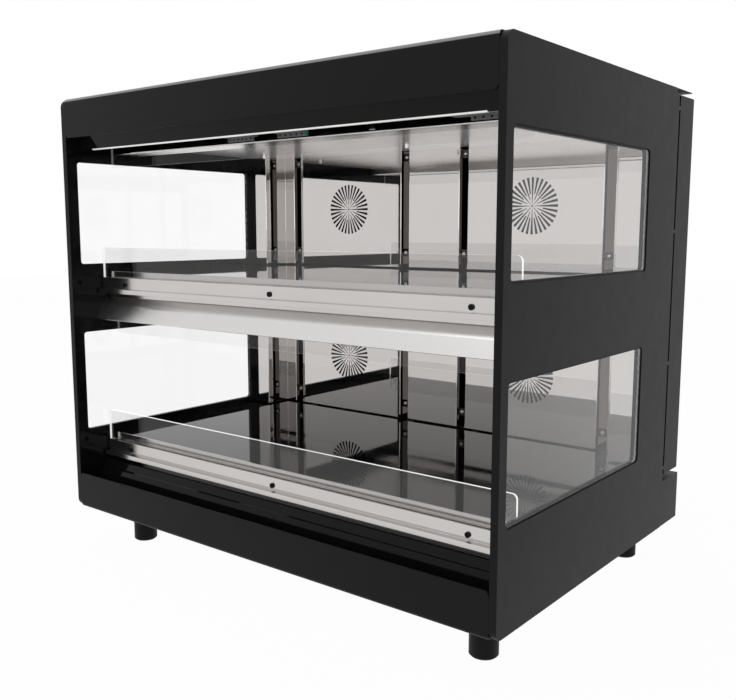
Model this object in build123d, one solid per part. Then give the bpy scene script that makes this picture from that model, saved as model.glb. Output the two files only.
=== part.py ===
"""Countertop heated display with two open shelves, fan grilles and glass fronts.

Sizes are in millimetres. Y is measured back from the side panels' front edge and Z up
from their bottom edge; save_pieces then moves the whole to its origin, the middle of
the footprint at counter level.
"""
import os

from build123d import *

WIDTH = 851.0
DEPTH = 620.0
PANEL_HEIGHT = 700.0
LEG_HEIGHT = 70.0

PANEL_DEPTH = 529.0
PANEL_THICKNESS = 10.5
PANEL_SKIN = 1.5
PANEL_RIM = 2.0
LINER_SKIN = 1.2
WINDOW_DEPTH = 6.0
HALF_WIDTH = WIDTH / 2
INNER_X = HALF_WIDTH - PANEL_THICKNESS - 0.3
SHEET = 1.5

LOWER_DECK = 122.5
UPPER_DECK = 412.5
DECK_PITCH = UPPER_DECK - LOWER_DECK
DECKS = {"lower": LOWER_DECK, "upper": UPPER_DECK}
DECK_GLASS = 6.0
DECK_FRONT = 75.5
CEILING_RISE = 217.5

MIRROR_Y = 483.0
PILASTER_Y = 427.0
PILASTER_X = 373.0
RETURN_DEPTH = 8.0
MIRROR_SHEET = 1.0
BAFFLE_X = (73.0, 329.0)
CENTRE_MIRROR_X = 56.0
SIDE_MIRROR_X = 347.0
FAN_X = 201.0
FAN_RISE = 112.0

GRILLE_RADIUS = 47.5
SLOT_COUNT = 32
SLOT_RIM_WIDTH = 4.6
SLOT_INNER_SHARES = (0.06, 0.42, 0.22, 0.42)

PLENUM_BACK = (529.0, 536.0)
REAR_COVER = (536.0, 598.0)
SCREW_X = (-348.0, 0.0, 348.0)
ROCKER_Y = 594.0
ROCKER_TILT = 8.0
GUARD_GLASS_Y = (63.0, 67.0)

STANDING = (Align.CENTER, Align.CENTER, Align.MIN)

pieces = {}


def add(name, *solids):
    """Keep the solids of one sub-part under its name."""
    pieces[name] = pieces.get(name, []) + [s for part in solids for s in part.solids()]


def block(x, y, z):
    """A box between two corners, each axis given as (low, high)."""
    size = (x[1] - x[0], y[1] - y[0], z[1] - z[0])
    return Pos(x[0], y[0], z[0]) * Box(*size, align=(Align.MIN,) * 3)


def mirrored(part):
    """The same part on the other side of the middle."""
    return mirror(part, about=Plane.YZ)


def along_x(face, half_length):
    """A section drawn as (Y, Z), run to both sides of the middle."""
    return extrude(Plane.YZ * face, half_length, both=True)


def rod(x, z, y, radius):
    """A round bar along Y."""
    return Pos(x, y[0], z) * Rot(-90, 0, 0) * Cylinder(radius, y[1] - y[0], align=STANDING)


def bar(x, z, y, radius, sides):
    """A many-sided bar along Y, for small fixings and hidden round parts."""
    plane = Plane((x, y[0], z), x_dir=(1, 0, 0), z_dir=(0, 1, 0))
    return extrude(plane * RegularPolygon(radius, sides), y[1] - y[0])


def post(x, y, z, radius, height):
    """A round bar standing on a point."""
    return Pos(x, y, z) * Cylinder(radius, height, align=STANDING)


def closed_face(points, radius=0.0):
    """A flat face inside a run of points, with one corner radius or a list of them."""
    return make_face(FilletPolyline(*points, radius=radius, close=True))


def sheet_section(points, thickness, bend=1.0):
    """The section of a folded sheet: a run of points, thickened to its left, with round bends."""
    points = [Vector(*p) for p in points]
    headings = [(b - a).normalized() for a, b in zip(points, points[1:])]
    lefts = [Vector(-h.Y, h.X) for h in headings]
    lefts = [lefts[0], *lefts, lefts[-1]]
    moved = [p + (a + b) * (thickness / (1 + a.dot(b))) for p, a, b in zip(points, lefts, lefts[1:])]
    left_turns = [a.cross(b).Z > 0 for a, b in zip(headings, headings[1:])]
    near = [bend + thickness if left else bend for left in left_turns]
    far = [bend if left else bend + thickness for left in left_turns]
    return closed_face(points + moved[::-1], [0, *near, 0, 0, *far[::-1], 0])


def side_outline(inset):
    """The side panel's outline as (Y, Z), with round front corners and a notch for the roof."""
    back, top = PANEL_DEPTH - inset, PANEL_HEIGHT - inset
    corner = 13.0 - inset
    points = [(inset, inset), (back, inset), (back, top - 10.5),
              (back - 10, top - 10.5), (back - 10, top), (inset, top)]
    return closed_face(points, [corner, 0, 0, 0, 0, corner])


def window(deck, grow=0.0):
    """The outline of one side window above a deck, grown all round."""
    size = (401.9 + 2 * grow, 177.6 + 2 * grow)
    return Pos(217.5, deck + 99.7) * RectangleRounded(*size, 8 + grow)


def make_sides():
    """Folded outer pans with deep window reveals, glossy liners and the glass held between."""
    seat = Plane.YZ.offset(HALF_WIDTH - WINDOW_DEPTH)
    inner = Plane.YZ.offset(HALF_WIDTH - PANEL_THICKNESS)
    pan = extrude(inner * side_outline(0), PANEL_THICKNESS)
    pan -= extrude(inner * side_outline(PANEL_RIM), PANEL_THICKNESS - PANEL_SKIN)
    liner = extrude(inner * side_outline(PANEL_RIM), LINER_SKIN)
    glasses = []
    for deck in DECKS.values():
        pan += extrude(seat * window(deck, PANEL_SKIN), WINDOW_DEPTH)
        pan -= extrude(seat * window(deck), WINDOW_DEPTH)
        liner += extrude(inner * window(deck, PANEL_SKIN), PANEL_THICKNESS - WINDOW_DEPTH)
        liner -= extrude(inner * window(deck, -3), PANEL_THICKNESS)
        glasses.append(extrude(seat * window(deck), 4.0))
    add("right_side_panel", pan)
    add("left_side_panel", mirrored(pan))
    add("right_side_liner", liner)
    add("left_side_liner", mirrored(liner))
    add("right_window_glasses", *glasses)
    add("left_window_glasses", *[mirrored(g) for g in glasses])


def make_roof():
    """Roof cover, top fascia and the sloped canopy plate behind the fascia."""
    cover = block((-INNER_X, INNER_X), (25, 519), (698.5, 700))
    cover += block((-HALF_WIDTH + 0.5, HALF_WIDTH - 0.5), (519, 585), (698.5, 700))
    for side in (-1, 1):
        ends = sorted((side * INNER_X, side * (INNER_X - SHEET)))
        cover += block(ends, (25, 519), (678, 700))
    cover += block((-400, 400), (560, 561.5), (691, 699))
    add("roof_cover", cover)
    fascia = along_x(sheet_section([(0, 636.5), (0, 700), (25, 700)][::-1], 3.0, 3.0), INNER_X)
    outline = Pos(0, 650) * RectangleRounded(2 * INNER_X, 27, 7)
    corners = block((-INNER_X, INNER_X), (-1, 30), (636, 650)) - extrude(Plane.XZ * outline, 40, both=True)
    add("top_fascia", fascia - corners)
    canopy = sheet_section([(4.9, 691.5), (23.5, 637), (30, 618), (34, 618)], MIRROR_SHEET, 0.6)
    add("canopy_plate", along_x(canopy, INNER_X - 0.5))


def make_light_troughs():
    """The polished trough, clips, light bar and ceiling above each shelf."""
    for level, deck in DECKS.items():
        top = deck + CEILING_RISE
        flange = top - 15
        points = [(95, flange + 26), (95, flange), (145, flange), (145, top)]
        add(f"{level}_light_trough", along_x(sheet_section(points, MIRROR_SHEET, 0.8), INNER_X - 0.5))
        bar = block((-400, 400), (98, 112), (flange + 1, flange + 9))
        add("light_bars", bar)
        for x in SCREW_X:
            grip = block((x - 12, x + 12), (85.5, 95), (flange + 15, flange + 26))
            grip -= block((x - 13, x + 13), (88, 92), (flange + 14, flange + 22))
            add("hanging_glass_clips", grip)
        glass = block((-414, 414), (88, 92), (deck + 179.5, flange + 22))
        bottom_edges = glass.edges().filter_by(Axis.Y).group_by(Axis.Z)[0]
        add(f"{level}_hanging_glass", fillet(bottom_edges, 5))
    ceiling = block((-INNER_X, INNER_X), (145, MIRROR_Y), (630, 631.5))
    for x in (-350, 0, 350):
        ceiling += post(x, 400, 625, 3.5, 5)
    add("ceiling_sheet", ceiling)
    for low, high in ((-93, -36), (11, 63), (312, 386)):
        terminal = block((low, high), (58, 76), (621, 640))
        pitch = (high - low) / 5
        for i in range(5):
            hole = Pos(low + pitch * (i + 0.5), 67, 615) * RegularPolygon(2.7, 8)
            terminal -= extrude(hole, 12)
        add("terminal_blocks", terminal)
    add("terminal_rail", block((-INNER_X, INNER_X), (52, 82), (640, 642)))


def make_shelves():
    """Deck glasses, heating mats, the upper shelf body and its sloped reflector."""
    for level, deck in DECKS.items():
        glass = block((-414, 414), (DECK_FRONT, MIRROR_Y), (deck - DECK_GLASS, deck))
        add(f"{level}_deck_glass", glass)
        mat = block((-395, 395), (95, MIRROR_Y - 8), (deck - DECK_GLASS - 2.5, deck - DECK_GLASS))
        add("deck_heaters", mat)
    floor = UPPER_DECK - DECK_PITCH + CEILING_RISE
    top = UPPER_DECK - DECK_GLASS - 2.5
    body = block((-INNER_X, INNER_X), (91, PLENUM_BACK[0]), (floor, top))
    body -= block((-INNER_X + 2, INNER_X - 2), (93, PLENUM_BACK[0] - 2), (floor + 2, top - 2))
    body -= block((-INNER_X, INNER_X), (90, 146), (floor - 1, floor + 22))
    body += block((-INNER_X, INNER_X), (145.5, 147), (floor, floor + 23))
    body += block((-INNER_X, INNER_X), (91, 147), (floor + 22, floor + 23.5))
    add("upper_shelf_body", body)
    reflector = sheet_section([(43, 330), (57, 352), (68.5, 366.5), (80, 366.5)], MIRROR_SHEET, 2.0)
    add("shelf_reflector", along_x(reflector, INNER_X - 0.5))


def rail_section(deck):
    """The front rail's extrusion: deck seat, glass slot, screw face and lower lip."""
    outline = [(73.5, 0), (75.5, 0), (75.5, -6), (90, -6), (90, -8.5), (77.5, -8.5), (77.5, -45),
               (72, -45), (72, -38.5), (50, -37), (50, -29.5), (59, -29), (59, -10), (63, -10),
               (63, -27.6), (67, -27.6), (67, -10), (73.5, -10)]
    rounded = [0.35] * 14 + [0, 0, 0.35, 0.35]
    rounded[1:3] = [0, 0]
    face = closed_face(outline, rounded)
    chamber = [(69, -13), (75, -13), (75, -34), (61, -34), (61, -31.5), (69, -31.5)]
    return Pos(0, deck) * (face - closed_face(chamber, 0.5))


def make_fronts():
    """Front rails, the guard glasses that stand in their slots and the clamp screws."""
    for level, deck in DECKS.items():
        rail = along_x(rail_section(deck), 411)
        for x in SCREW_X:
            rail -= bar(x, deck - 22, (58, 63), 2.1, 8)
            screw = bar(x, deck - 22, (57, 59), 4, 20) + bar(x, deck - 22, (58.5, 63), 2.0, 8)
            add("rail_clamp_screws", screw - block((x - 3, x + 3), (56.5, 57.7), (deck - 22.5, deck - 21.5)))
        add(f"{level}_front_rail", rail)
        glass = block((-414, 414), GUARD_GLASS_Y, (deck - 27.6, deck + 42))
        top_edges = glass.edges().filter_by(Axis.Y).group_by(Axis.Z)[-1]
        add(f"{level}_guard_glass", fillet(top_edges, 7))


def make_base():
    """Base pan, bottom fascia, glossy plinth plate and the four legs."""
    pan = block((-INNER_X, INNER_X), (24, PLENUM_BACK[0]), (0, 114))
    pan -= block((-INNER_X + SHEET, INNER_X - SHEET), (20, PLENUM_BACK[0] - SHEET), (SHEET, 120))
    pan -= block((-430, 430), (20, 91), (SHEET, 120))
    for x in (-200, 200):
        pan += block((x - 1, x + 1), (95, PLENUM_BACK[0] - 1), (1, 114))
    section = sheet_section([(0, 61), (0, 0), (24, 0)], 3.0, 3.0)
    outline = Pos(0, 47.5) * RectangleRounded(2 * INNER_X, 27, 7)
    corners = block((-INNER_X, INNER_X), (-1, 30), (47.5, 62)) - extrude(Plane.XZ * outline, 40, both=True)
    add("bottom_fascia", along_x(section, INNER_X) - corners)
    plinth = [(28, 1.5), (46.5, 62.5), (49.5, 64.5), (53.5, 76), (71, 76)]
    plinth = sheet_section(plinth, MIRROR_SHEET, 0.6)
    add("plinth_plate", along_x(plinth, INNER_X - 0.5))
    for x in (-356, 356):
        for y in (90, 552):
            leg = post(x, y, -LEG_HEIGHT, 20, LEG_HEIGHT)
            leg = chamfer(leg.edges().group_by(Axis.Z)[0], 2.5)
            stud = Pos(x, y, 0) * RegularPolygon(5, 12)
            add("legs", leg + extrude(stud, 14))
            nut = extrude(Pos(x, y, SHEET) * RegularPolygon(9, 6), 8) - extrude(stud, 20)
            add("leg_nuts", nut)
        pan -= Pos(x, 90, 0) * Cylinder(5.2, 10)
    add("base_pan", pan)


def grille_slots(x, z):
    """Cutters of one fan grille: tapered radial slots of three lengths round a centre hole."""
    slots = []
    for i in range(SLOT_COUNT):
        inner = GRILLE_RADIUS * SLOT_INNER_SHARES[i % 4]
        inner_half = SLOT_RIM_WIDTH / 2 * max(inner / GRILLE_RADIUS, 0.12)
        rim_half = SLOT_RIM_WIDTH / 2
        corners = [(GRILLE_RADIUS, rim_half), (inner, inner_half), (inner, -inner_half),
                   (GRILLE_RADIUS, -rim_half)]
        slots.append(Rot(0, 0, i * 360 / SLOT_COUNT) * make_face(Polyline(*corners, close=True)))
    slots.append(RegularPolygon(1.6, 8))
    plane = Plane((x, MIRROR_Y, z), x_dir=(1, 0, 0), z_dir=(0, -1, 0))
    return [extrude(plane * slot, 3, both=True) for slot in slots]


def make_rear_wall():
    """Mirror pilasters, centre mirrors and the four baffles with their grilles."""
    for level, deck in DECKS.items():
        z = (deck + 3, deck + CEILING_RISE)
        length = z[1] - z[0]
        edge_y = MIRROR_Y + RETURN_DEPTH
        pilaster = [(INNER_X, PILASTER_Y), (PILASTER_X, PILASTER_Y), (PILASTER_X, MIRROR_Y),
                    (SIDE_MIRROR_X, MIRROR_Y), (SIDE_MIRROR_X, edge_y)]
        pilaster = Pos(0, 0, z[0]) * extrude(sheet_section(pilaster[::-1], MIRROR_SHEET, 0.8), length)
        add("right_mirror_pilasters", pilaster)
        add("left_mirror_pilasters", mirrored(pilaster))
        centre = [(-CENTRE_MIRROR_X, edge_y), (-CENTRE_MIRROR_X, MIRROR_Y), (CENTRE_MIRROR_X, MIRROR_Y),
                  (CENTRE_MIRROR_X, edge_y)]
        add("centre_mirrors", Pos(0, 0, z[0]) * extrude(sheet_section(centre, MIRROR_SHEET, 0.8), length))
        low, high = BAFFLE_X
        baffle = [(low, edge_y), (low, MIRROR_Y), (high, MIRROR_Y), (high, edge_y)]
        baffle = Pos(0, 0, deck + 8) * extrude(sheet_section(baffle, MIRROR_SHEET, 0.8), length - 5)
        baffle -= grille_slots(FAN_X, deck + FAN_RISE)
        for x in (64.5, 338.0):
            for height in (deck + 30, deck + CEILING_RISE - 12):
                reach = (x - 8, x + 9.5) if x < FAN_X else (x - 9.5, x + 8)
                baffle += block(reach, (edge_y - 1, edge_y), (height - 7, height + 7))
                baffle -= bar(x, height, (edge_y - 2, edge_y + 1), 2.1, 8)
                screw = bar(x, height, (edge_y - 3, edge_y - 1), 3.6, 12)
                screw += bar(x, height, (edge_y - 2, edge_y + 9), 2.0, 8)
                standoff = bar(x, height, (edge_y, PLENUM_BACK[0]), 4.4, 6)
                standoff -= bar(x, height, (edge_y - 1, edge_y + 9), 2.0, 8)
                add("baffle_screws", screw, mirrored(screw))
                add("baffle_standoffs", standoff, mirrored(standoff))
        add(f"{level}_right_baffle", baffle)
        add(f"{level}_left_baffle", mirrored(baffle))


def make_fan(name, x, z):
    """One centrifugal rotor with its shaft, its motor and the ring heater round it."""
    disc = bar(x, z, (519, 520.5), 50, 48)
    hub = bar(x, z, (505, 519), 9, 16)
    shaft = bar(x, z, (500, 566), 3, 16)
    face = Plane((x, 519, z), x_dir=(1, 0, 0), z_dir=(0, -1, 0))
    blade = extrude(face * Pos(42, 0) * Rot(0, 0, 35) * Rectangle(15, 1.4), 22)
    middle = Axis((x, 519, z), (0, 1, 0))
    blades = [blade.rotate(middle, i * 360 / 20) for i in range(20)]
    rim = bar(x, z, (497, 499), 50, 48) - bar(x, z, (496, 500), 38, 48)
    add(name, disc + hub + shaft + blades + rim)
    flange = block((x - 36, x + 36), (536, 538), (z - 36, z + 36))
    motor = flange + bar(x, z, (538, 560), 31, 24) + bar(x, z, (560, 575), 24, 24)
    motor += bar(x, z, (530, 537), 11, 24)
    add("fan_motors", motor - bar(x, z, (520, 567), 3.12, 16))
    ring = bar(x, z, (504.5, 511.5), 64.5, 24) - bar(x, z, (504, 512), 57.5, 24)
    flats = ring.edges().group_by(Axis.Y)
    add("ring_heaters", chamfer(flats[0] + flats[-1], 2))


def make_plenum():
    """The insulated back wall with its side screws, the fans and the rear cover."""
    fans = [(f"{level}_{side}_fan", sign * FAN_X, deck + FAN_RISE)
            for level, deck in DECKS.items() for side, sign in (("left", -1), ("right", 1))]
    wall = block((-423.5, 423.5), PLENUM_BACK, (88, 691))
    wall -= block((-422.3, 422.3), (PLENUM_BACK[0] + 1.2, PLENUM_BACK[1] - 1.2), (89.2, 689.8))
    for name, x, z in fans:
        wall -= bar(x, z, (520, 540), 11, 24)
        make_fan(name, x, z)
    add("plenum_back", wall)
    for side in (-1, 1):
        for z in (99, 272, 482, 671):
            head = Plane((side * 423.5, 532.5, z), z_dir=(side, 0, 0)) * RegularPolygon(3, 12)
            add("rear_side_screws", extrude(head, 1.6))
    cover = block((-425, 425), REAR_COVER, (88, 691))
    cover = fillet(cover.edges().group_by(Axis.Y)[-1], 3)
    cover -= block((-425 + SHEET, 425 - SHEET), (535, REAR_COVER[1] - SHEET), (88 + SHEET, 691 - SHEET))
    for name, x, z in fans:
        for row in range(7):
            cover -= block((x - 45, x + 45), (590, 600), (z - 38 + row * 12, z - 33 + row * 12))
    add("rear_cover", cover)


def across(x, y, radius, length):
    """A round bar along X through the middle height of the control box."""
    return Pos(x, y, 38) * Rot(0, 90, 0) * Cylinder(radius, length)


def make_control_box():
    """The box under the rear cover, with switches, thermostat knobs and the cable gland."""
    box = block((-425, 425), (529, 594), (0, 77))
    box -= block((-425 + SHEET, 425 - SHEET), (529 + SHEET, 600), (SHEET, 77 - SHEET))
    lid = block((-425, 425), (594, 604), (0, 77))
    lid = fillet(lid.edges().group_by(Axis.Y)[-1], 2)
    lid -= block((-425 + SHEET, 425 - SHEET), (590, 604 - SHEET), (SHEET, 77 - SHEET))
    for x in (-356, 356):
        box -= Pos(x, 552, 0) * Cylinder(5.2, 10)
    for level, x in (("upper", 250), ("lower", 170)):
        lid -= rod(x, 38, (590, 605), 5)
        skirt = rod(x, 38, (604.5, 608), 17)
        grip = chamfer(rod(x, 38, (608, 620), 13.5).edges().group_by(Axis.Y)[-1], 1.2)
        grip -= [block((x + s * 13.5 - 6.5, x + s * 13.5 + 6.5), (609.5, 621), (20, 56)) for s in (-1, 1)]
        grip -= block((x - 0.8, x + 0.8), (619, 621), (38 + 3, 38 + 14))
        add(f"{level}_thermostat_knob", rod(x, 38, (575, 606), 3) + skirt + grip)
        body = block((x - 18, x + 18), (560, 590), (22, 54)) + rod(x, 38, (589, 602.5), 9)
        add("thermostats", body - rod(x, 38, (570, 604), 3.05))
    for name, x in (("power", 330), ("light", 300)):
        lid -= block((x - 11, x + 11), (590, 605), (22, 54))
        housing = block((x - 11, x + 11), (575, 605), (22, 54))
        housing -= block((x - 9, x + 9), (580, 606), (25, 51))
        housing -= across(x, ROCKER_Y, 1.55, 24)
        add("switch_housings", housing)
        rocker = Pos(x, ROCKER_Y, 38) * Rot(ROCKER_TILT, 0, 0) * Box(17, 30, 22)
        rocker &= across(x, ROCKER_Y, 12.6, 17)
        rocker -= Pos(x, ROCKER_Y + 21, 38) * Rot(0, 90, 0) * Cylinder(11.5, 18)
        add(f"{name}_switch_rocker", rocker + across(x, ROCKER_Y, 1.5, 21))
    gland = rod(-330, 38, (596, 604), 9) + rod(-330, 38, (590, 602.5), 11)
    lid -= rod(-330, 38, (590, 605), 9)
    add("cable_gland", gland - rod(-330, 38, (580, 610), 4.5))
    add("control_box", box)
    add("control_box_lid", lid)


def save_pieces():
    """Move every sub-part to the common origin and write one file for each."""
    os.makedirs("parts", exist_ok=True)
    to_origin = Pos(0, -DEPTH / 2, LEG_HEIGHT)
    for name, solids in pieces.items():
        export_step(to_origin * Compound(children=solids), f"parts/{name}.step")


make_sides()
make_roof()
make_light_troughs()
make_shelves()
make_fronts()
make_base()
make_rear_wall()
make_plenum()
make_control_box()
save_pieces()
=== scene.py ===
"""Looks of a countertop heated display: finishes, small details, studio and camera."""
import math

import bmesh
import bpy
from bpy.props import FloatProperty, FloatVectorProperty, IntProperty, PointerProperty
from mathutils import Matrix, Vector


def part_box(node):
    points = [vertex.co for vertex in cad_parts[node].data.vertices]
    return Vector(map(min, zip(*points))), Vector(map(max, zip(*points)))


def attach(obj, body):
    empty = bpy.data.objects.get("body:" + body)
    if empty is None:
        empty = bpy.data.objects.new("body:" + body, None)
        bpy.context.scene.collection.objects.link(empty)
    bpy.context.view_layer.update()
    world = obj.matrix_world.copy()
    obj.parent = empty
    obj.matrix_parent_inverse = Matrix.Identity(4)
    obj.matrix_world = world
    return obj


bl_info = {
    "name": "Heated display finishes",
    "version": (1, 0, 0),
    "blender": (4, 5, 0),
    "location": "3D View > Sidebar > Display",
    "description": "Finishes, trim and studio for a countertop heated display",
    "category": "Object",
}

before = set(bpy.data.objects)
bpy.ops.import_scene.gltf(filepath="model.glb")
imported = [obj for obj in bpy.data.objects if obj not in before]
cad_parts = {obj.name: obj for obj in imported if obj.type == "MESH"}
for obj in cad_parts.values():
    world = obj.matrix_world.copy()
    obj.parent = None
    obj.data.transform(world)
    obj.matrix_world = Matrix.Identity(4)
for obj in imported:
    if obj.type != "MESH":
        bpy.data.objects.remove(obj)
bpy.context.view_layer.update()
HOUSING = "housing"
LEVELS = ("lower", "upper")
SIDES = ("left", "right")
BAYS = tuple((level, side) for level in LEVELS for side in SIDES)
FINISHES = {}


def mm(value):
    """Millimetres as metres."""
    return value / 1000.0


def colour(name, default, text):
    """A colour setting."""
    return FloatVectorProperty(name=name, description=text, subtype="COLOR", size=3, default=default,
                               min=0, max=1)


def length(name, default, text):
    """A length setting, in metres."""
    return FloatProperty(name=name, description=text, subtype="DISTANCE", unit="LENGTH", default=default,
                         min=0)


class DisplayColours(bpy.types.PropertyGroup):
    paint: colour("Paint", (0.0034, 0.0034, 0.0036), "Matt paint of the outer sheets")
    gloss: colour("Gloss black", (0.004, 0.004, 0.0045), "Glossy inner skins")
    mirror: colour("Mirror steel", (0.585, 0.56, 0.545), "Polished rear wall")
    rail: colour("Rail", (0.565, 0.546, 0.532), "Aluminium front rails")
    galvanised: colour("Galvanised", (0.66, 0.65, 0.64), "Ceiling and reflector sheets")
    # partly painted light: a lighter copy of the galvanised colour, brightened for the ceiling and troughs
    ceiling: colour("Ceiling", (0.93, 0.91, 0.89), "Ceiling sheets and light troughs")
    deck: colour("Deck glass", (0.006, 0.006, 0.0065), "Black glass decks")
    rubber: colour("Moulded black", (0.004, 0.004, 0.004), "Legs, knobs and switch parts")
    terminal: colour("Terminal grey", (0.17, 0.175, 0.175), "Terminal blocks")
    earth: colour("Earth green", (0.04, 0.24, 0.17), "Earth terminal")
    # painted reflection: the brownish light seen in the air slots
    slot: colour("Slot edges", (0.10, 0.085, 0.075), "Sheet returns inside the air slots")
    plated: colour("Plated steel", (0.62, 0.61, 0.6), "Screws, standoffs and nuts")
    dark_screw: colour("Dark screws", (0.012, 0.012, 0.012), "Clamp screws and rear screws")
    fan: colour("Fans", (0.025, 0.025, 0.026), "Fans, motors and ring heaters")
    heater: colour("Heating mats", (0.16, 0.05, 0.03), "Mats under the decks")
    dial: colour("Dial ticks", (0.75, 0.75, 0.73), "Ticks round the knobs")
    front_tint: colour("Front glass", (0.27, 0.27, 0.265), "Tint of the guard and hanging glasses")
    side_tint: colour("Side glass", (0.75, 0.75, 0.75), "Tint of the window glasses")
    floor: colour("Floor", (0.93, 0.93, 0.93), "Studio floor")


class DisplaySizes(bpy.types.PropertyGroup):
    # the strip's brightness is a painted highlight
    edge_strip: length("Edge strip", mm(1.5), "Height of the bright strip under the canopy")
    seal_width: length("Window seal", mm(2.2), "Width of the seal round each window")
    baffle_half: length("Baffle half width", mm(127.6), "Half width of a baffle's mirror face")
    hood_drop: length("Louvre hood", mm(3.4), "How far each louvre hood stands out")
    dial_ticks: IntProperty(name="Dial ticks", description="Ticks round each thermostat knob", default=11,
                            min=2, max=40)
    dial_radius: length("Dial radius", mm(20.5), "Radius of the tick ring round a knob")


class DisplayStudio(bpy.types.PropertyGroup):
    camera_place: FloatVectorProperty(name="Camera", description="Where the camera stands", subtype="XYZ",
                                      unit="LENGTH", size=3, default=(0.9179, -1.1687, 0.5536))
    yaw: FloatProperty(name="Yaw", description="Turn to the left of +Y", subtype="ANGLE",
                       default=math.radians(38.59))
    pitch: FloatProperty(name="Pitch", description="Tilt below level", subtype="ANGLE",
                         default=math.radians(7.76))
    lens: FloatProperty(name="Lens", description="Focal length in millimetres", subtype="DISTANCE_CAMERA",
                        default=42.9)
    fill: FloatProperty(name="Fill light", description="World strength on matt surfaces", default=0.62,
                        min=0)
    key_watts: FloatProperty(name="Key lamp", description="Power of the large overhead lamp", default=22.0,
                             min=0)


class Value:
    """A node socket that takes part in sums."""

    def __init__(self, finish, socket):
        self.finish = finish
        self.socket = socket

    def __add__(self, other):
        return self.finish.maths("ADD", self, other)

    def __radd__(self, other):
        return self.finish.maths("ADD", other, self)

    def __sub__(self, other):
        return self.finish.maths("SUBTRACT", self, other)

    def __rsub__(self, other):
        return self.finish.maths("SUBTRACT", other, self)

    def __mul__(self, other):
        return self.finish.maths("MULTIPLY", self, other)


class Finish:
    """One procedural material with a Principled surface."""

    def __init__(self, name, **fixed):
        self.material = bpy.data.materials.new(f"finish_{name}")
        self.material.use_nodes = True
        self.tree = self.material.node_tree
        self.tree.nodes.clear()
        self.surface = self.tree.nodes.new("ShaderNodeBsdfPrincipled")
        output = self.tree.nodes.new("ShaderNodeOutputMaterial")
        self.tree.links.new(self.surface.outputs[0], output.inputs[0])
        self.set(**fixed)

    def plug(self, socket, value):
        """Link or write one input."""
        if isinstance(value, Value):
            self.tree.links.new(value.socket, socket)
        elif socket.type == "RGBA" and len(value) == 3:
            socket.default_value = (*value, 1.0)
        else:
            socket.default_value = value

    def node(self, kind, settings=None, inputs=None, output=0):
        """Any node: its settings first, then its sockets; returns one output."""
        made = self.tree.nodes.new(kind)
        for key, value in (settings or {}).items():
            setattr(made, key, value)
        for key, value in (inputs or {}).items():
            self.plug(made.inputs[key], value)
        return Value(self, made.outputs[output])

    def maths(self, operation, *values, clamp=False):
        """A sum or comparison of values."""
        settings = {"operation": operation, "use_clamp": clamp}
        return self.node("ShaderNodeMath", settings, dict(enumerate(values)))

    def place(self, scale):
        """Object coordinates, stretched."""
        coords = self.node("ShaderNodeTexCoord", output="Object")
        return self.node("ShaderNodeMapping", None, {"Vector": coords, "Scale": scale})

    def noise(self, scale, detail, stretch=(1, 1, 1)):
        """Cloudy noise in object coordinates, from nought to one."""
        inputs = {"Vector": self.place(stretch), "Scale": scale, "Detail": detail}
        return self.node("ShaderNodeTexNoise", None, inputs)

    def ramp(self, value, low, high):
        """A value spread from nought at low to one at high."""
        inputs = {"Value": value, "From Min": low, "From Max": high, "To Min": 0.0, "To Max": 1.0}
        return self.node("ShaderNodeMapRange", {"clamp": True}, inputs)

    def blend(self, mask, first, second):
        """One colour where the mask is nought and another where it is one."""
        made = self.tree.nodes.new("ShaderNodeMix")
        made.data_type = "RGBA"
        self.plug(made.inputs[0], mask)
        self.plug(made.inputs[6], first)
        self.plug(made.inputs[7], second)
        return Value(self, made.outputs[2])

    def bump(self, height, distance, strength):
        """A normal tilted by a height, with its depth in metres."""
        inputs = {"Height": height, "Distance": distance, "Strength": strength}
        return self.node("ShaderNodeBump", None, inputs)

    def coordinate(self, axis, kind="Object"):
        """One axis of the object coordinates in metres, or of the surface normal."""
        coords = self.node("ShaderNodeTexCoord", output=kind)
        parts = self.tree.nodes.new("ShaderNodeSeparateXYZ")
        self.tree.links.new(coords.socket, parts.inputs[0])
        return Value(self, parts.outputs[axis])

    def face_axis(self, axis):
        """How squarely a face looks along one object axis, from nought to one."""
        return self.maths("ABSOLUTE", self.coordinate(axis, "Normal"))

    def set(self, **sockets):
        """Write or link the surface's sockets; underscores stand for spaces."""
        for key, value in sockets.items():
            self.plug(self.surface.inputs[key.replace("_", " ")], value)


def shade(base, factor):
    """A colour made lighter or darker."""
    return tuple(min(1.0, c * factor) for c in base)


def paint_finish(colours, name="powder_coat", painted_bend_highlight=0.0):
    """Matt powder coat with a fine grain and slow changes of sheen; its bends may carry a painted
    highlight.
    """
    made = Finish(name, Specular_IOR_Level=0.13)
    cloud = made.noise(3.5, 3)
    grain = made.noise(1400, 2)
    up = made.coordinate(2, "Normal")
    # painted highlight: faces on the bends, turned partly upward, are blended toward pale grey
    bend = made.maths("MULTIPLY", made.ramp(up, 0.12, 0.3), 1 - made.ramp(up, 0.97, 0.99))
    flat = made.blend(cloud, shade(colours.paint, 0.85), shade(colours.paint, 1.25))
    made.set(Base_Color=made.blend(bend * painted_bend_highlight, flat, (0.9, 0.9, 0.9)),
             Roughness=0.40 + made.noise(40, 3) * 0.09,
             Normal=made.bump(grain, 0.00006, 0.6))
    return made.material


def gloss_finish(colours):
    """Deep gloss black with faint orange peel and wiping marks."""
    made = Finish("gloss_black", Specular_IOR_Level=0.12)
    wipes = made.noise(9, 4, (1, 5, 1))
    made.set(Base_Color=made.blend(wipes, shade(colours.gloss, 0.8), shade(colours.gloss, 1.4)),
             Roughness=0.035 + wipes * 0.05,
             Normal=made.bump(made.noise(120, 1), 0.00002, 0.3))
    return made.material


def mirror_finish(colours):
    """Mirror-polished stainless steel with soft waviness and faint smears."""
    made = Finish("mirror_steel", Metallic=1.0)
    polish(made, colours)
    return made.material


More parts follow.
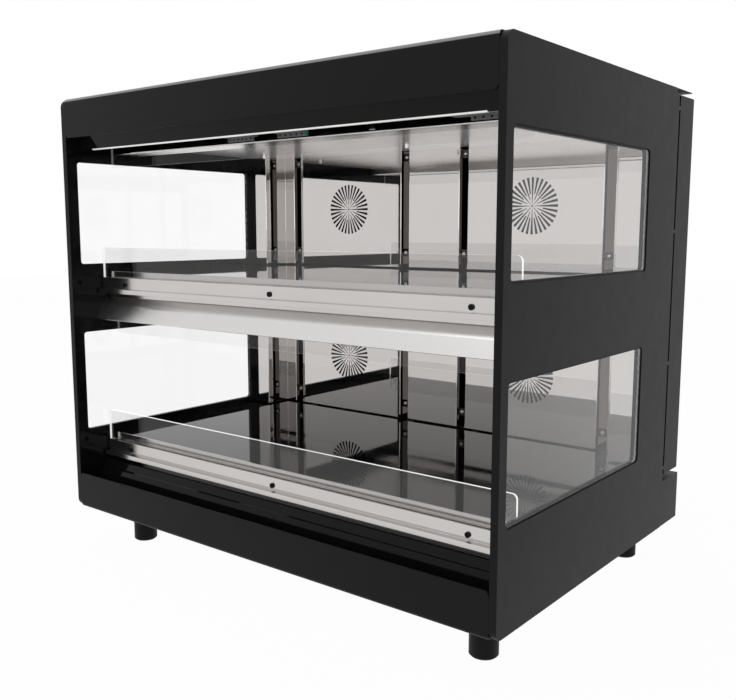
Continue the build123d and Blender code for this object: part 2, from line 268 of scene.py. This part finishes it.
def polish(made, colours):
    """The shared look of the mirror steel; returns its colour."""
    smear = made.noise(7, 4, (1, 1, 0.35))
    tone = made.blend(smear, shade(colours.mirror, 0.97), shade(colours.mirror, 1.04))
    made.set(Base_Color=tone,
             Roughness=0.012 + made.ramp(smear, 0.45, 0.8) * 0.03,
             Normal=made.bump(made.noise(5, 1), 0.0006, 0.08))
    return tone


def baffle_finish(colours, middle, half):
    """Mirror steel with painted shade at both edges, where a baffle ends in the air slots."""
    made = Finish("baffle_steel", Metallic=1.0)
    tone = polish(made, colours)
    off = made.maths("ABSOLUTE", made.maths("ABSOLUTE", made.coordinate(0)) - middle)
    edge = made.ramp(off, half, half + mm(0.4))
    # painted shade: past the mirror face the colour turns to the darkened slot colour
    made.set(Base_Color=made.blend(edge, tone, shade(colours.slot, 0.6)))
    return made.material


def slot_reflection_finish(colours):
    """Sheet returns inside the air slots with upright streaks, brownish from a painted reflection that
    glows faintly by itself.
    """
    made = Finish("slot_returns", Metallic=0.4, Roughness=0.38, Emission_Strength=1.0)
    streak = made.noise(160, 2, (1, 1, 0.02))
    # painted reflection: the brownish colour and its glow stand in for light reflected into the slots
    made.set(Emission_Color=made.blend(streak, shade(colours.slot, 0.5), shade(colours.slot, 1.1)))
    made.set(Base_Color=made.blend(streak, shade(colours.slot, 0.7), shade(colours.slot, 1.5)))
    return made.material


def rail_finish(colours):
    """Bright extruded aluminium with die lines along its length."""
    made = Finish("bright_rail", Metallic=1.0)
    lines = made.noise(900, 3, (0.002, 1, 1))
    patch = made.noise(6, 3, (1, 4, 4))
    made.set(Base_Color=made.blend(patch, shade(colours.rail, 0.93), shade(colours.rail, 1.07)),
             Roughness=0.10 + lines * 0.10,
             Normal=made.bump(lines, 0.00008, 0.35))
    return made.material


def edge_highlight_finish(colours):
    """Cut and polished sheet edges with a painted highlight that glows by itself."""
    made = Finish("lip_edge_highlight", Metallic=0.3, Roughness=0.3, Emission_Strength=1.0)
    wear_and_highlight = made.noise(60, 3, (0.2, 1, 1))
    # painted highlight: the edge strips glow by themselves, patchy with the same noise as their wear
    made.set(Base_Color=made.blend(wear_and_highlight, shade(colours.rail, 0.9), shade(colours.rail, 1.2)),
             Emission_Color=made.blend(wear_and_highlight, (0.2, 0.2, 0.195), (0.5, 0.5, 0.49)))
    return made.material


def galvanised_finish(base, name, dark_fronts=0.0, lift=0.0):
    """Zinc-coated sheet with a soft spangle.

    Faces that look forward and stand before the depth dark_fronts are dark, with a fine row of bars.
    lift adds a faint painted glow that brightens the sheet.
    """
    # painted light: lift is a glow the sheet gives by itself
    made = Finish(name, Metallic=1.0, Emission_Color=(lift, lift, lift), Emission_Strength=1.0)
    speck = made.noise(240, 2)
    cloud = made.noise(30, 3)
    tone = made.blend(speck, shade(base, 0.97), shade(base, 1.03))
    if dark_fronts:
        grid = made.maths("PINGPONG", made.coordinate(0), 0.0022)
        front = made.blend(made.ramp(grid, 0.0012, 0.0018), (0.012, 0.012, 0.012), (0.03, 0.03, 0.03))
        lead = 1 - made.ramp(made.coordinate(1), dark_fronts, dark_fronts + mm(2))
        mask = made.maths("MULTIPLY", made.ramp(made.face_axis(1), 0.6, 0.8), lead)
        tone = made.blend(mask, tone, front)
    made.set(Base_Color=tone,
             Roughness=0.20 + cloud * 0.08,
             Normal=made.bump(cloud, 0.00002, 0.2))
    return made.material


def deck_finish(colours):
    """Black ceramic glass with faint wiping marks."""
    made = Finish("deck_glass", Specular_IOR_Level=0.17)
    wipes = made.noise(6, 4, (1, 3, 1))
    made.set(Base_Color=made.blend(wipes, shade(colours.deck, 0.8), shade(colours.deck, 1.6)),
             Roughness=0.02 + made.ramp(wipes, 0.4, 0.9) * 0.05)
    return made.material


def clear_glass_finish(name, edge_axes, veil, tint, glow):
    """Thin clear glass: a faint grey veil, stronger at a glance, with pale ground edges that carry a
    painted highlight.
    """
    made = Finish(name, Metallic=1.0, Roughness=0.015, Emission_Strength=1.0)
    edge = made.face_axis(edge_axes[0])
    for axis in edge_axes[1:]:
        edge = made.maths("MAXIMUM", edge, made.face_axis(axis))
    edge = made.ramp(edge, 0.35, 0.6)
    facing = made.node("ShaderNodeLayerWeight", None, {"Blend": 0.5}, "Facing")
    glance = veil + made.maths("POWER", facing, 5.0) * 0.7
    smear = made.ramp(made.noise(11, 4), 0.5, 0.9)
    # painted highlight: the edges glow by themselves; their pale base colour is the ground edge's own
    made.set(Base_Color=made.blend(edge, tint, (0.98, 1.0, 0.99)),
             Alpha=made.maths("ADD", glance * (1 - edge) + smear * 0.004, edge * glow, clamp=True),
             Emission_Color=made.blend(edge, (0, 0, 0), (0.62, 0.63, 0.62)),
             Metallic=1 - edge)
    return made.material


def plastic_finish(name, base, roughness=0.45):
    """Moulded plastic with a fine spark texture."""
    made = Finish(name, Specular_IOR_Level=0.12)
    cloud = made.noise(18, 3)
    made.set(Base_Color=made.blend(cloud, shade(base, 0.85), shade(base, 1.2)),
             Roughness=roughness + cloud * 0.08,
             Normal=made.bump(made.noise(900, 2), 0.00008, 0.5))
    return made.material


def plated_finish(name, base, roughness):
    """Plated steel of screws, motors and fans."""
    made = Finish(name, Metallic=1.0)
    patch = made.noise(60, 3)
    made.set(Base_Color=made.blend(patch, shade(base, 0.85), shade(base, 1.1)),
             Roughness=roughness + patch * 0.1)
    return made.material


def box_into(bm, low, high, bevel=0.0):
    """Add a box, with softened edges if it has a bevel."""
    low, high = Vector(low), Vector(high)
    size = high - low
    matrix = Matrix.Translation((low + high) / 2) @ Matrix.Diagonal((*size, 1.0))
    made = bmesh.ops.create_cube(bm, size=1.0, matrix=matrix)
    if bevel:
        edges = list({e for v in made["verts"] for e in v.link_edges})
        bmesh.ops.bevel(bm, geom=edges, offset=bevel, segments=2, profile=0.5, affect="EDGES",
                        material=-1)


def drum_into(bm, start, axis, radius, top_radius, depth, segments):
    """Add a cylinder or cone that starts at a point and runs along an axis."""
    turn = Vector((0, 0, 1)).rotation_difference(Vector(axis)).to_matrix().to_4x4()
    middle = Vector(start) + Vector(axis).normalized() * depth / 2
    bmesh.ops.create_cone(bm, cap_ends=True, segments=segments, radius1=radius, radius2=top_radius,
                          depth=depth, matrix=Matrix.Translation(middle) @ turn)


def keep_piece(name, bm, material, body=HOUSING, smooth=False):
    """Turn a bmesh into a piece that rides on a body."""
    bmesh.ops.remove_doubles(bm, verts=bm.verts, dist=1e-7)
    bmesh.ops.recalc_face_normals(bm, faces=bm.faces)
    mesh = bpy.data.meshes.new(name)
    for face in bm.faces:
        face.smooth = smooth
    bm.to_mesh(mesh)
    bm.free()
    piece = bpy.data.objects.new(name, mesh)
    bpy.context.scene.collection.objects.link(piece)
    mesh.materials.append(material)
    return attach(piece, body)


def dress(name, *nodes):
    """Give CAD nodes a finish."""
    material = use(name)
    for node in nodes:
        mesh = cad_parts[node].data
        mesh.materials.clear()
        mesh.materials.append(material)


def fan_x(level, side):
    """Where a fan's axis stands across the width."""
    low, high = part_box(f"{level}_{side}_fan")
    return (low.x + high.x) / 2


def baffle_recipe(colours):
    """The baffles' finish, with its edges measured from the fans' axes."""
    low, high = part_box("lower_right_fan")
    half = bpy.context.scene.display_sizes.baffle_half
    return baffle_finish(colours, (low.x + high.x) / 2, half)


def trough_recipe(colours):
    """The light troughs' finish, dark on the flange that looks forward."""
    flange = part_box("upper_light_trough")[0].y + mm(4)
    # the troughs share the ceiling's lighter copy of the galvanised colour, partly painted light
    return galvanised_finish(colours.ceiling, "trough_sheet", dark_fronts=flange)


RECIPES = {
    "powder_coat": paint_finish,
    # painted highlight on the bends of the top fascia and the roof
    "painted_highlight_coat": lambda c: paint_finish(c, "painted_highlight_coat", painted_bend_highlight=0.25),
    "gloss_black": gloss_finish,
    "moulded_black": lambda c: plastic_finish("moulded_black", c.rubber),
    "black_screw": lambda c: plated_finish("black_screw", c.dark_screw, roughness=0.35),
    "heater_mat": lambda c: plastic_finish("heater_mat", c.heater, roughness=0.6),
    "baffle_steel": baffle_recipe,
    "mirror_steel": mirror_finish,
    "slot_returns": slot_reflection_finish,
    "bright_rail": rail_finish,
    "lip_edge_highlight": edge_highlight_finish,
    "galvanised_sheet": lambda c: galvanised_finish(c.galvanised, "galvanised_sheet"),
    # painted light: the ceiling takes the lighter copy of the galvanised colour and a faint glow
    "ceiling": lambda c: galvanised_finish(c.ceiling, "ceiling", lift=0.06),
    "trough_sheet": trough_recipe,
    "plated_steel": lambda c: plated_finish("plated_steel", c.plated, roughness=0.25),
    "dark_fan": lambda c: plated_finish("dark_fan", c.fan, roughness=0.4),
    "terminal_grey": lambda c: plastic_finish("terminal_grey", c.terminal),
    "earth_green": lambda c: plastic_finish("earth_green", c.earth),
    "dial_white": lambda c: plastic_finish("dial_white", c.dial, roughness=0.5),
    "deck_glass": deck_finish,
    "front_glass": lambda c: clear_glass_finish("front_glass", (0, 2), veil=0.09,
                                                tint=c.front_tint, glow=0.85),
    "hanging_glass": lambda c: clear_glass_finish("hanging_glass", (0, 2), veil=0.05,
                                                  tint=c.front_tint, glow=0.12),
    "side_glass": lambda c: clear_glass_finish("side_glass", (1, 2), veil=0.045,
                                               tint=c.side_tint, glow=0.85),
}


def use(name):
    """The material of a name, made on first use."""
    if name not in FINISHES:
        FINISHES[name] = RECIPES[name](bpy.context.scene.display_colours)
    return FINISHES[name]


def window_rims():
    """Each side window's outline as (side, low corner, high corner) of its glass."""
    pane = mm(177.6)
    rims = []
    for side in SIDES:
        low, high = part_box(f"{side}_window_glasses")
        rims.append((side, low, Vector((high.x, high.y, low.z + pane))))
        rims.append((side, Vector((low.x, low.y, high.z - pane)), high))
    return rims


class DISPLAY_OT_stage(bpy.types.Operator):
    """Make the floor, the soft lights, the white surroundings and the camera"""

    bl_idname = "display.stage"
    bl_label = "Studio and camera"

    def execute(self, context):
        scene = context.scene
        studio = scene.display_studio
        scene.view_settings.view_transform = "Standard"
        self.make_floor(scene.display_colours.floor)
        self.make_world(scene, studio.fill)
        self.make_lamp("key_lamp", place=(-0.4, -0.6, 3.2), target=(0, 0, 0.3), size=2.6,
                       watts=studio.key_watts)
        self.make_lamp("front_lamp", place=(0.6, -3.4, 1.6), target=(0, 0, 0.4), size=2.2,
                       watts=studio.key_watts * 0.9)
        camera = bpy.data.objects.new("photo_camera", bpy.data.cameras.new("photo_camera"))
        scene.collection.objects.link(camera)
        camera.location = studio.camera_place
        camera.rotation_euler = (math.pi / 2 - studio.pitch, 0, studio.yaw)
        camera.data.lens = studio.lens
        camera.data.sensor_width = 36.0
        camera.data.clip_start = 0.02
        scene.camera = camera
        return {"FINISHED"}

    def make_floor(self, base):
        """A wide floor that looks white to the camera and lights the object as matt paint."""
        backdrop = 0.97
        bm = bmesh.new()
        bmesh.ops.create_grid(bm, x_segments=1, y_segments=1, size=9.0)
        mesh = bpy.data.meshes.new("floor")
        bm.to_mesh(mesh)
        bm.free()
        floor = bpy.data.objects.new("floor", mesh)
        bpy.context.scene.collection.objects.link(floor)
        made = Finish("floor", Roughness=0.9, Specular_IOR_Level=0.1)
        made.set(Base_Color=made.blend(made.noise(2, 2), shade(base, 0.985), base))
        white = made.node("ShaderNodeEmission", None, {"Color": (1, 1, 1), "Strength": 1.0})
        path = made.tree.nodes.new("ShaderNodeLightPath")
        seen = made.maths("MAXIMUM", Value(made, path.outputs["Is Glossy Ray"]),
                          Value(made, path.outputs["Is Transmission Ray"]))
        shown = made.maths("MULTIPLY", Value(made, path.outputs["Is Camera Ray"]), backdrop)
        factor = made.maths("MAXIMUM", seen, shown)
        mix = made.tree.nodes.new("ShaderNodeMixShader")
        made.plug(mix.inputs[0], factor)
        made.tree.links.new(made.surface.outputs[0], mix.inputs[1])
        made.tree.links.new(white.socket, mix.inputs[2])
        output = next(n for n in made.tree.nodes if n.type == "OUTPUT_MATERIAL")
        made.tree.links.new(mix.outputs[0], output.inputs[0])
        mesh.materials.append(made.material)

    def make_world(self, scene, fill):
        """White surroundings to look at, and a weaker light on matt surfaces."""
        world = bpy.data.worlds.new("studio")
        world.use_nodes = True
        tree = world.node_tree
        back = tree.nodes["Background"]
        back.inputs["Color"].default_value = (1, 1, 1, 1)
        path = tree.nodes.new("ShaderNodeLightPath")
        seen = tree.nodes.new("ShaderNodeMath")
        seen.operation = "MAXIMUM"
        tree.links.new(path.outputs["Is Camera Ray"], seen.inputs[0])
        tree.links.new(path.outputs["Is Glossy Ray"], seen.inputs[1])
        clear = tree.nodes.new("ShaderNodeMath")
        clear.operation = "MAXIMUM"
        tree.links.new(seen.outputs[0], clear.inputs[0])
        tree.links.new(path.outputs["Is Transmission Ray"], clear.inputs[1])
        level = tree.nodes.new("ShaderNodeMapRange")
        tree.links.new(clear.outputs[0], level.inputs["Value"])
        level.inputs["To Min"].default_value = fill
        level.inputs["To Max"].default_value = 1.0
        tree.links.new(level.outputs[0], back.inputs["Strength"])
        scene.world = world

    def make_lamp(self, name, place, target, size, watts):
        """A square lamp turned toward a point."""
        lamp = bpy.data.lights.new(name, "AREA")
        lamp.shape = "SQUARE"
        lamp.size = size
        lamp.energy = watts
        holder = bpy.data.objects.new(name, lamp)
        bpy.context.scene.collection.objects.link(holder)
        holder.location = place
        holder.rotation_euler = (Vector(target) - Vector(place)).to_track_quat("-Z", "Y").to_euler()


class DISPLAY_OT_housing(bpy.types.Operator):
    """Finish the painted sheets and the glossy black skins"""

    bl_idname = "display.housing"
    bl_label = "Housing finishes"

    def execute(self, context):
        dress("powder_coat", "left_side_panel", "right_side_panel", "bottom_fascia", "rear_cover",
              "control_box", "control_box_lid", "plenum_back")
        dress("painted_highlight_coat", "top_fascia", "roof_cover")
        dress("gloss_black", "left_side_liner", "right_side_liner", "canopy_plate", "plinth_plate")
        dress("moulded_black", "legs", "cable_gland", "switch_housings", "power_switch_rocker",
              "light_switch_rocker", "upper_thermostat_knob", "lower_thermostat_knob")
        dress("black_screw", "rail_clamp_screws", "rear_side_screws")
        dress("heater_mat", "deck_heaters")
        return {"FINISHED"}


class DISPLAY_OT_metal(bpy.types.Operator):
    """Finish the mirror wall, the rails, the galvanised sheets and the hardware"""

    bl_idname = "display.metal"
    bl_label = "Metal finishes"

    def execute(self, context):
        dress("baffle_steel", *(f"{level}_{side}_baffle" for level, side in BAYS))
        dress("mirror_steel", "left_mirror_pilasters", "right_mirror_pilasters", "centre_mirrors")
        dress("bright_rail", "upper_front_rail", "lower_front_rail", "light_bars", "hanging_glass_clips")
        dress("galvanised_sheet", "shelf_reflector", "base_pan", "terminal_rail")
        dress("ceiling", "ceiling_sheet", "upper_shelf_body")
        dress("trough_sheet", "lower_light_trough", "upper_light_trough")
        dress("plated_steel", "baffle_screws", "baffle_standoffs", "leg_nuts")
        dress("dark_fan", "ring_heaters", "fan_motors", *(f"{level}_{side}_fan" for level, side in BAYS))
        dress("terminal_grey", "terminal_blocks", "thermostats")
        return {"FINISHED"}


class DISPLAY_OT_slot_returns(bpy.types.Operator):
    """Make the sheet returns behind the baffles' edges and the skirts under the baffles"""

    bl_idname = "display.slot_returns"
    bl_label = "Slot returns"

    def execute(self, context):
        half = context.scene.display_sizes.baffle_half
        self.make_returns(half)
        self.make_skirts(half)
        return {"FINISHED"}

    def make_returns(self, half):
        """A thin upright sheet from each baffle edge back to the plenum."""
        inner, outer, gap = mm(0.7), mm(0.3), mm(0.1)
        bm = bmesh.new()
        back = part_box("plenum_back")[0].y
        for level, side in BAYS:
            low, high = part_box(f"{level}_{side}_baffle")
            middle = fan_x(level, side)
            for sign in (-1, 1):
                near = middle + sign * (half - inner)
                far = middle + sign * (half + outer)
                span = sorted((near, far))
                box_into(bm, (span[0], high.y + gap, low.z), (span[1], back, high.z))
        keep_piece("slot_returns", bm, use("slot_returns"))

    def make_skirts(self, half):
        """A mirror strip that closes the gap between each baffle and the deck."""
        clearance, thickness, overlap = mm(2.6), mm(1), mm(0.05)
        skirts = bmesh.new()
        for level, side in BAYS:
            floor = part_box(f"{level}_deck_glass")[1].z + clearance
            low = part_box(f"{level}_{side}_baffle")[0]
            middle = fan_x(level, side)
            box_into(skirts, (middle - half, low.y, floor),
                     (middle + half, low.y + thickness, low.z + overlap))
        keep_piece("baffle_skirts", skirts, use("mirror_steel"))


class DISPLAY_OT_glass(bpy.types.Operator):
    """Finish the clear glasses and the black decks"""

    bl_idname = "display.glass"
    bl_label = "Glass finishes"

    def execute(self, context):
        dress("deck_glass", "upper_deck_glass", "lower_deck_glass")
        dress("front_glass", "lower_guard_glass", "upper_guard_glass")
        dress("hanging_glass", "lower_hanging_glass", "upper_hanging_glass")
        dress("side_glass", "left_window_glasses", "right_window_glasses")
        return {"FINISHED"}


class DISPLAY_OT_edge_strips(bpy.types.Operator):
    """Make the strips with a painted highlight on the lips above the front openings"""

    bl_idname = "display.edge_strips"
    bl_label = "Edge strips"

    def execute(self, context):
        height = context.scene.display_sizes.edge_strip
        canopy_inset, canopy_depth, canopy_drop = mm(31), mm(5), mm(0.4)
        trough_inset, trough_depth, bevel = mm(47), mm(0.8), mm(0.3)
        bm = bmesh.new()
        low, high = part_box("canopy_plate")
        reach = high.x - canopy_inset
        box_into(bm, (-reach, high.y - canopy_depth, low.z - canopy_drop), (reach, high.y, low.z + height),
                 bevel)
        for level in LEVELS:
            low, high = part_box(f"{level}_light_trough")
            reach = high.x - trough_inset
            box_into(bm, (-reach, low.y - trough_depth, low.z), (reach, low.y, low.z + height), bevel)
        keep_piece("lip_highlight_strips", bm, use("lip_edge_highlight"))
        return {"FINISHED"}


class DISPLAY_OT_window_seals(bpy.types.Operator):
    """Make the black seal round each side window"""

    bl_idname = "display.window_seals"
    bl_label = "Window seals"

    def execute(self, context):
        width = context.scene.display_sizes.seal_width
        proud = mm(0.9)
        bm = bmesh.new()
        for side, low, high in window_rims():
            outer_x = high.x if side == "right" else low.x
            reach = proud if side == "right" else -proud
            self.frame_into(bm, low, high, sorted((outer_x, outer_x + reach)), width)
        keep_piece("window_seals", bm, use("moulded_black"))
        return {"FINISHED"}

    def frame_into(self, bm, low, high, span, width):
        """A flat frame with round corners, with its depth along X."""
        radius, steps = mm(8), 6
        rings = []
        for inset, x in ((0.0, span[0]), (0.0, span[1]), (width, span[1]), (width, span[0])):
            ring = []
            for corner in range(4):
                sign_y = (1, -1, -1, 1)[corner]
                sign_z = (1, 1, -1, -1)[corner]
                centre_y = (high.y if sign_y > 0 else low.y) - sign_y * radius
                centre_z = (high.z if sign_z > 0 else low.z) - sign_z * radius
                for i in range(steps + 1):
                    angle = math.radians(90 * corner + 90 * i / steps)
                    reach = radius - inset
                    place = (x, centre_y + reach * math.cos(angle), centre_z + reach * math.sin(angle))
                    ring.append(bm.verts.new(place))
            rings.append(ring)
        for ring, following in zip(rings, rings[1:] + rings[:1]):
            for i in range(len(ring)):
                bm.faces.new((ring[i - 1], ring[i], following[i], following[i - 1]))


class DISPLAY_OT_screws(bpy.types.Operator):
    """Make the domed screw heads of the baffles and the rear cover"""

    bl_idname = "display.screws"
    bl_label = "Screw crowns"

    def execute(self, context):
        bm = bmesh.new()
        for spot in self.solid_centres("baffle_screws"):
            self.crown_into(bm, spot, (0, -1, 0), radius=mm(3.9), height=mm(1.5))
        keep_piece("baffle_screw_crowns", bm, use("plated_steel"), smooth=True)
        sink = mm(0.2)
        bm = bmesh.new()
        for spot in self.solid_centres("rear_side_screws"):
            inward = -1.0 if spot.x > 0 else 1.0
            seat = spot + Vector((inward * sink, 0, 0))
            self.crown_into(bm, seat, (-inward, 0, 0), radius=mm(3.2), height=mm(0.6))
        keep_piece("rear_screw_crowns", bm, use("black_screw"), smooth=True)
        return {"FINISHED"}

    def solid_centres(self, node):
        """The outer face's middle of each separate solid in a node."""
        bm = bmesh.new()
        bm.from_mesh(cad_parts[node].data)
        bmesh.ops.remove_doubles(bm, verts=bm.verts, dist=1e-6)
        left, centres = set(bm.verts), []
        while left:
            group, stack = set(), [next(iter(left))]
            while stack:
                vert = stack.pop()
                if vert in group:
                    continue
                group.add(vert)
                stack.extend(e.other_vert(vert) for e in vert.link_edges)
            left -= group
            low = [min(v.co[i] for v in group) for i in range(3)]
            high = [max(v.co[i] for v in group) for i in range(3)]
            middle = [(a + b) / 2 for a, b in zip(low, high)]
            if high[1] - low[1] > high[0] - low[0]:
                centres.append(Vector((middle[0], low[1], middle[2])))
            else:
                centres.append(Vector((high[0] if middle[0] > 0 else low[0], middle[1], middle[2])))
        bm.free()
        return sorted(centres, key=lambda c: tuple(round(v, 5) for v in c))

    def crown_into(self, bm, spot, axis, radius, height):
        """A domed head built from short cones; each ring is a share of the radius and of the height."""
        sides = 16
        rings = ((1.0, 0.0), (0.97, 0.35), (0.8, 0.7), (0.5, 0.92))
        for (share, rise), (next_share, next_rise) in zip(rings, rings[1:]):
            start = spot + Vector(axis) * height * rise
            drum_into(bm, start, axis, radius * share, radius * next_share, height * (next_rise - rise),
                      sides)


class DISPLAY_OT_rear_details(bpy.types.Operator):
    """Make the louvre hoods, the dial ticks and the gland's nut at the back"""

    bl_idname = "display.rear_details"
    bl_label = "Rear details"

    def execute(self, context):
        sizes = context.scene.display_sizes
        self.make_hoods(sizes.hood_drop)
        self.make_dials(sizes)
        self.make_gland_nut()
        return {"FINISHED"}

    def make_gland_nut(self):
        """The six-sided nut of the cable gland."""
        sink, sides = mm(0.4), 6
        bm = bmesh.new()
        low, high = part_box("cable_gland")
        middle = (low + high) / 2
        drum_into(bm, (middle.x, high.y - sink, middle.z), (0, 1, 0), mm(10.6), mm(9.8), mm(5), sides)
        keep_piece("gland_nut", bm, use("moulded_black"))

    def hood_section(self, back, top, drop):
        """A hood's section as (y, z) points, from the cover outward and down."""
        rise, lift = mm(6), mm(1)
        turns = [math.radians(a) for a in range(0, 91, 15)]
        return [(back + drop * math.sin(t), top + rise * (math.cos(t) - 1) + lift) for t in turns]

    def make_hoods(self, drop):
        """A curved hood over each vent slot of the rear cover."""
        slots, first, pitch, half, sheet = 7, -33, 12, mm(46), mm(0.8)
        bm = bmesh.new()
        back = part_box("rear_cover")[1].y
        for level, side in BAYS:
            low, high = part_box(f"{level}_{side}_fan")
            middle = (low + high) / 2
            for row in range(slots):
                arc = self.hood_section(back, middle.z + mm(first + row * pitch), drop)
                rows = []
                for x in (middle.x - half, middle.x + half):
                    rows.append([bm.verts.new((x, y, z)) for y, z in arc])
                for i in range(len(arc) - 1):
                    bm.faces.new((rows[0][i], rows[0][i + 1], rows[1][i + 1], rows[1][i]))
                for row_verts in rows:
                    foot = bm.verts.new((row_verts[0].co.x, back, arc[-1][1]))
                    bm.faces.new([*row_verts, foot])
        bmesh.ops.solidify(bm, geom=list(bm.faces), thickness=sheet)
        keep_piece("louvre_hoods", bm, use("powder_coat"))

    def make_dials(self, sizes):
        """A ring of ticks round each thermostat knob, with a longer one at every fifth place."""
        start, sweep, proud, thickness, width = 90, 270, mm(0.05), mm(0.2), mm(0.7)
        bm = bmesh.new()
        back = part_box("control_box_lid")[1].y
        for level in LEVELS:
            low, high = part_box(f"{level}_thermostat_knob")
            middle = (low + high) / 2
            for i in range(sizes.dial_ticks):
                angle = math.radians(start - sweep * i / (sizes.dial_ticks - 1))
                tall = mm(3.2) if i % 5 == 0 else mm(2.0)
                matrix = (Matrix.Translation((middle.x, back + proud, middle.z))
                          @ Matrix.Rotation(angle, 4, "Y")
                          @ Matrix.Translation((sizes.dial_radius, 0, 0))
                          @ Matrix.Diagonal((tall, thickness, width, 1)))
                bmesh.ops.create_cube(bm, size=1.0, matrix=matrix)
        keep_piece("dial_ticks", bm, use("dial_white"))


class DISPLAY_OT_terminals(bpy.types.Operator):
    """Make the terminal strips seen through the gap behind the canopy, and their earth terminal"""

    bl_idname = "display.terminals"
    bl_label = "Terminal details"

    # each strip's two ends across the width in millimetres, and its number of screws
    strips = ((-103, -49, 6), (2, 56, 5), (331, 402, 6))

    def execute(self, context):
        depth, bevel, sides = mm(4), mm(0.4), 12
        well_height, well_radius, well_depth, proud = mm(3.1), mm(1.7), mm(0.3), mm(0.1)
        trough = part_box("upper_light_trough")[0]
        bottom = trough.z + mm(1.6)
        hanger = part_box("terminal_rail")[0].z
        front = trough.y - mm(17)
        rear = front + depth
        strips, well_shades = bmesh.new(), bmesh.new()
        for start, end, count in self.strips:
            box_into(strips, (mm(start), front, bottom), (mm(end), rear, hanger), bevel)
            pitch = (end - start) / count
            for i in range(count):
                # painted shade: a thin black disc on the strip's face stands for the shade inside each
                # screw well
                place = (mm(start + pitch * (i + 0.5)), front - proud, bottom + well_height)
                drum_into(well_shades, place, (0, 1, 0), well_radius, well_radius, well_depth, sides)
        keep_piece("terminal_strips", strips, use("terminal_grey"))
        keep_piece("terminal_well_shades", well_shades, use("moulded_black"))
        earth = bmesh.new()
        box_into(earth, (mm(56.1), front - mm(0.5), bottom - mm(0.4)), (mm(60), rear, hanger), bevel)
        keep_piece("earth_terminal", earth, use("earth_green"))
        bracket = bmesh.new()
        box_into(bracket, (mm(172), front, bottom), (mm(181), rear, hanger), bevel)
        keep_piece("wiring_bracket", bracket, use("bright_rail"))
        return {"FINISHED"}


OPERATORS = (
    DISPLAY_OT_stage,
    DISPLAY_OT_housing,
    DISPLAY_OT_metal,
    DISPLAY_OT_slot_returns,
    DISPLAY_OT_glass,
    DISPLAY_OT_edge_strips,
    DISPLAY_OT_window_seals,
    DISPLAY_OT_screws,
    DISPLAY_OT_rear_details,
    DISPLAY_OT_terminals,
)


class DISPLAY_PT_panel(bpy.types.Panel):
    """Lists the display's settings and steps"""

    bl_idname = "DISPLAY_PT_panel"
    bl_label = "Heated display"
    bl_space_type = "VIEW_3D"
    bl_region_type = "UI"
    bl_category = "Display"

    def draw(self, context):
        scene = context.scene
        for group in (scene.display_colours, scene.display_sizes, scene.display_studio):
            box = self.layout.box()
            for name in group.__annotations__:
                box.prop(group, name)
        for operator in OPERATORS:
            self.layout.operator(operator.bl_idname)


CLASSES = (DisplayColours, DisplaySizes, DisplayStudio, *OPERATORS, DISPLAY_PT_panel)


def register():
    for cls in CLASSES:
        bpy.utils.register_class(cls)
    bpy.types.Scene.display_colours = PointerProperty(type=DisplayColours)
    bpy.types.Scene.display_sizes = PointerProperty(type=DisplaySizes)
    bpy.types.Scene.display_studio = PointerProperty(type=DisplayStudio)


def unregister():
    del bpy.types.Scene.display_studio
    del bpy.types.Scene.display_sizes
    del bpy.types.Scene.display_colours
    for cls in reversed(CLASSES):
        bpy.utils.unregister_class(cls)


def main():
    register()
    for operator in OPERATORS:
        group, name = operator.bl_idname.split(".")
        getattr(getattr(bpy.ops, group), name)()


if __name__ == "__main__":
    main()
